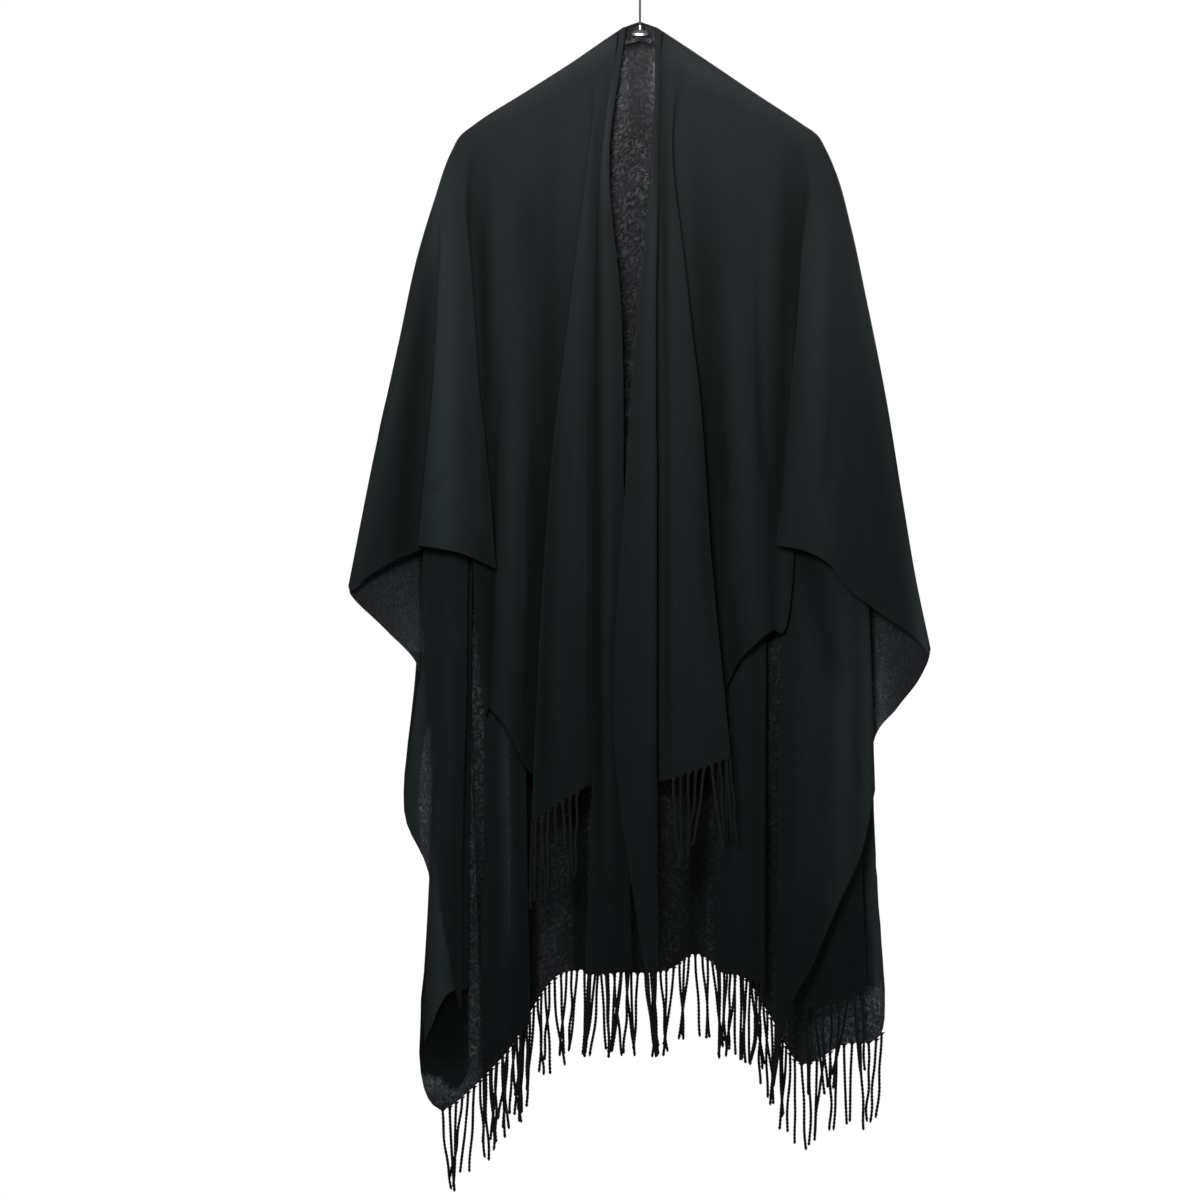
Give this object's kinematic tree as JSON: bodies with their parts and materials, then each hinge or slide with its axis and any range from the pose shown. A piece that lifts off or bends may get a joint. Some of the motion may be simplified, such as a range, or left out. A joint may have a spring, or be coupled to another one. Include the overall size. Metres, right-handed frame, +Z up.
{
  "type": "fringed poncho on a hanger",
  "caption": "Wide fringed wool poncho with an open front, draped over the arms of a slim hanger and falling in deep folds.",
  "frame": {"origin": "the inner top of the hanger's hook, where it rests on its rail", "axes": "+Z up, +X to the viewer's right along the hanger's arms, -Y to the front"},
  "size_m": [0.6467, 0.1465, 1.383],
  "materials": {
    "plain_face": "brushed matt charcoal wool",
    "speckled_face": "mottled looped wool, black with grey flecks",
    "fringe": "twisted wool yarn",
    "hanger": "matt black",
    "hook_metal": "polished"
  },
  "bodies": {
    "root": {"back": "speckled_face", "back_side_left": "speckled_face", "back_side_right": "speckled_face", "back_sleeve_left": "speckled_face", "back_sleeve_right": "speckled_face", "front_left": "plain_face", "front_right": "plain_face", "sleeve_left": "plain_face", "sleeve_right": "plain_face", "slit_fold_left": "plain_face", "slit_fold_right": "plain_face", "middle_fold_left": "plain_face", "middle_fold_right": "plain_face", "side_fold_left": "plain_face", "side_fold_right": "plain_face", "under_fold_left": "plain_face", "under_fold_right": "plain_face", "fringe_back": "fringe", "fringe_front_left": "fringe", "fringe_front_right": "fringe", "fringe_slit_left": "fringe", "fringe_slit_right": "fringe", "fringe_middle_left": "fringe", "fringe_middle_right": "fringe", "fringe_under_right": "fringe", "hanger_arms": "hanger", "hook_cap": "hook_metal", "hook": "hook_metal"}
  },
  "joints": []
}
